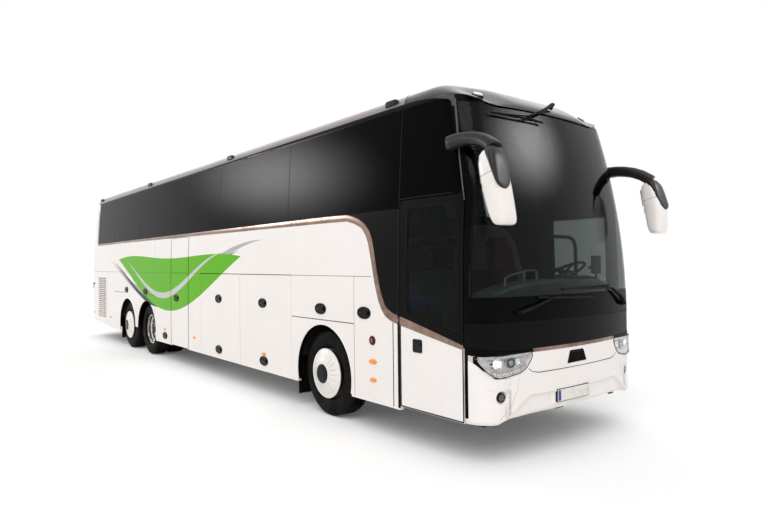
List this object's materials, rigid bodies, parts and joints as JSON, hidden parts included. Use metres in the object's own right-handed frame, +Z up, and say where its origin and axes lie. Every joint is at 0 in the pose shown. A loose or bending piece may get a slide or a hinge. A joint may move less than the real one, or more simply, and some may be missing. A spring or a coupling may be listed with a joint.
{
  "type": "touring coach",
  "caption": "Full-size three-axle touring coach with bonded side glass, swing doors, luggage flaps, steered front wheels and twin driven wheels.",
  "frame": {"origin": "on the ground under the middle of the box round the whole coach, mirrors included", "axes": "+X forward, +Y to the coach's left, +Z up"},
  "size_m": [14.2699, 2.93, 3.6953],
  "materials": {
    "body_paint": "gloss white with green and grey bands",
    "hatch_plastic": "satin",
    "black_trim": "gloss black",
    "clear_glass": "clear laminated",
    "tinted_glass": "dark tinted",
    "lamp_lens": "clear lens over bright reflectors",
    "tail_lens": "red and amber lens",
    "frame_steel": "satin black",
    "floor_vinyl": "speckled sheet",
    "hold_metal": "plain sheet",
    "chassis_paint": "matt black",
    "engine_metal": "painted casting",
    "mirror_shell": "gloss white",
    "seat_fabric": "woven",
    "cab_seat_fabric": "woven",
    "dash_plastic": "grained",
    "wheel_plastic": "grained",
    "wheel_cover": "gloss white",
    "rim_metal": "polished",
    "tyre_rubber": "moulded"
  },
  "bodies": {
    "coach": {"cab_floor": "floor_vinyl", "cab_seats": "cab_seat_fabric", "cab_window": "clear_glass", "chassis_frame": "chassis_paint", "cross_members": "chassis_paint", "dashboard": "dash_plastic", "deck_floor": "floor_vinyl", "engine": "engine_metal", "entry_steps": "floor_vinyl", "front_axle": "chassis_paint", "front_bumper": "body_paint", "front_frame": "black_trim", "front_panel": "body_paint", "headlamps": "lamp_lens", "hold_tub": "hold_metal", "mid_steps": "floor_vinyl", "mirrors": "mirror_shell", "passenger_seats": "seat_fabric", "rear_axles": "chassis_paint", "rear_wall": "body_paint", "rear_window": "tinted_glass", "roof": "body_paint", "roof_hatches": "hatch_plastic", "side_glass_left": "tinted_glass", "side_glass_right": "tinted_glass", "side_wall_left": "body_paint", "side_wall_right": "body_paint", "tail_lamps": "tail_lens", "tow_brackets": "chassis_paint", "wheel_housings": "chassis_paint", "window_frame": "black_trim", "windscreen": "clear_glass"},
    "luggage_flap_right_1": {"luggage_flap_right_1": "body_paint"},
    "luggage_flap_right_2": {"luggage_flap_right_2": "body_paint"},
    "luggage_flap_left_1": {"luggage_flap_left_1": "body_paint"},
    "luggage_flap_left_2": {"luggage_flap_left_2": "body_paint"},
    "engine_door": {"engine_door": "body_paint"},
    "front_door_arm": {"front_door_arm": "frame_steel"},
    "front_door": {"front_door": "body_paint", "front_door_glass": "clear_glass"},
    "mid_door_arm": {"mid_door_arm": "frame_steel"},
    "mid_door": {"mid_door": "body_paint"},
    "steering_wheel": {"steering_wheel": "wheel_plastic"},
    "knuckle_right": {"knuckle_right": "frame_steel"},
    "knuckle_left": {"knuckle_left": "frame_steel"},
    "front_wheel_right": {"front_wheel_right": "wheel_cover", "front_tyre_right": "tyre_rubber"},
    "front_wheel_left": {"front_wheel_left": "wheel_cover", "front_tyre_left": "tyre_rubber"},
    "drive_wheel_right": {"drive_wheel_right": "rim_metal", "drive_tyre_right": "tyre_rubber"},
    "drive_wheel_left": {"drive_wheel_left": "rim_metal", "drive_tyre_left": "tyre_rubber"},
    "tag_wheel_right": {"tag_wheel_right": "wheel_cover", "tag_tyre_right": "tyre_rubber"},
    "tag_wheel_left": {"tag_wheel_left": "wheel_cover", "tag_tyre_left": "tyre_rubber"}
  },
  "joints": [
    {"name": "steer_right", "type": "hinge", "parent": "coach", "child": "knuckle_right", "pos_m": [4.205, -0.91, 0.52], "axis": [0, 0, 1], "range_deg": [-40, 40]},
    {"name": "steer_left", "type": "hinge", "parent": "coach", "child": "knuckle_left", "pos_m": [4.205, 0.91, 0.52], "axis": [0, 0, 1], "range_deg": [-40, 40]},
    {"name": "steering_wheel_turn", "type": "hinge", "parent": "coach", "child": "steering_wheel", "pos_m": [6.445, 0.69, 1.395], "axis": [-0.4695, 0, 0.8829], "range_deg": [-640, 640]},
    {"name": "roll_front_right", "type": "hinge", "parent": "knuckle_right", "child": "front_wheel_right", "pos_m": [4.205, -1.06, 0.52], "axis": [0, 1, 0], "continuous": true},
    {"name": "roll_drive_right", "type": "hinge", "parent": "coach", "child": "drive_wheel_right", "pos_m": [-2.495, -1.06, 0.52], "axis": [0, 1, 0], "continuous": true},
    {"name": "roll_tag_right", "type": "hinge", "parent": "coach", "child": "tag_wheel_right", "pos_m": [-3.835, -1.06, 0.52], "axis": [0, 1, 0], "continuous": true},
    {"name": "roll_front_left", "type": "hinge", "parent": "knuckle_left", "child": "front_wheel_left", "pos_m": [4.205, 1.06, 0.52], "axis": [0, 1, 0], "continuous": true},
    {"name": "roll_drive_left", "type": "hinge", "parent": "coach", "child": "drive_wheel_left", "pos_m": [-2.495, 1.06, 0.52], "axis": [0, 1, 0], "continuous": true},
    {"name": "roll_tag_left", "type": "hinge", "parent": "coach", "child": "tag_wheel_left", "pos_m": [-3.835, 1.06, 0.52], "axis": [0, 1, 0], "continuous": true},
    {"name": "front_door_open", "type": "hinge", "parent": "coach", "child": "front_door_arm", "pos_m": [6.505, -1.17, 1], "axis": [0, 0, 1], "range_deg": [0, 90]},
    {"name": "front_door_pivot", "type": "hinge", "parent": "front_door_arm", "child": "front_door", "pos_m": [6.085, -1.17, 1], "axis": [0, 0, 1], "range_deg": [-90, 0]},
    {"name": "mid_door_open", "type": "hinge", "parent": "coach", "child": "mid_door_arm", "pos_m": [-0.98, -1.17, 1], "axis": [0, 0, -1], "range_deg": [0, 90]},
    {"name": "mid_door_pivot", "type": "hinge", "parent": "mid_door_arm", "child": "mid_door", "pos_m": [-0.56, -1.17, 1], "axis": [0, 0, -1], "range_deg": [-90, 0]},
    {"name": "flap_right_1_lift", "type": "hinge", "parent": "coach", "child": "luggage_flap_right_1", "pos_m": [2.695, -1.263, 1.687], "axis": [-1, 0, 0], "range_deg": [0, 90]},
    {"name": "flap_right_2_lift", "type": "hinge", "parent": "coach", "child": "luggage_flap_right_2", "pos_m": [1.155, -1.263, 1.687], "axis": [-1, 0, 0], "range_deg": [0, 90]},
    {"name": "flap_left_1_lift", "type": "hinge", "parent": "coach", "child": "luggage_flap_left_1", "pos_m": [2.695, 1.263, 1.687], "axis": [1, 0, 0], "range_deg": [0, 90]},
    {"name": "flap_left_2_lift", "type": "hinge", "parent": "coach", "child": "luggage_flap_left_2", "pos_m": [1.155, 1.263, 1.687], "axis": [1, 0, 0], "range_deg": [0, 90]},
    {"name": "engine_door_lift", "type": "hinge", "parent": "coach", "child": "engine_door", "pos_m": [-7.11233, 0, 1.68], "axis": [0, 1, 0], "range_deg": [0, 80]}
  ],
  "couplings": [
    {"joint": "steer_left", "follows": "steer_right", "ratio": 1},
    {"joint": "steering_wheel_turn", "follows": "steer_right", "ratio": 16},
    {"joint": "front_door_pivot", "follows": "front_door_open", "ratio": -1},
    {"joint": "mid_door_pivot", "follows": "mid_door_open", "ratio": -1}
  ]
}
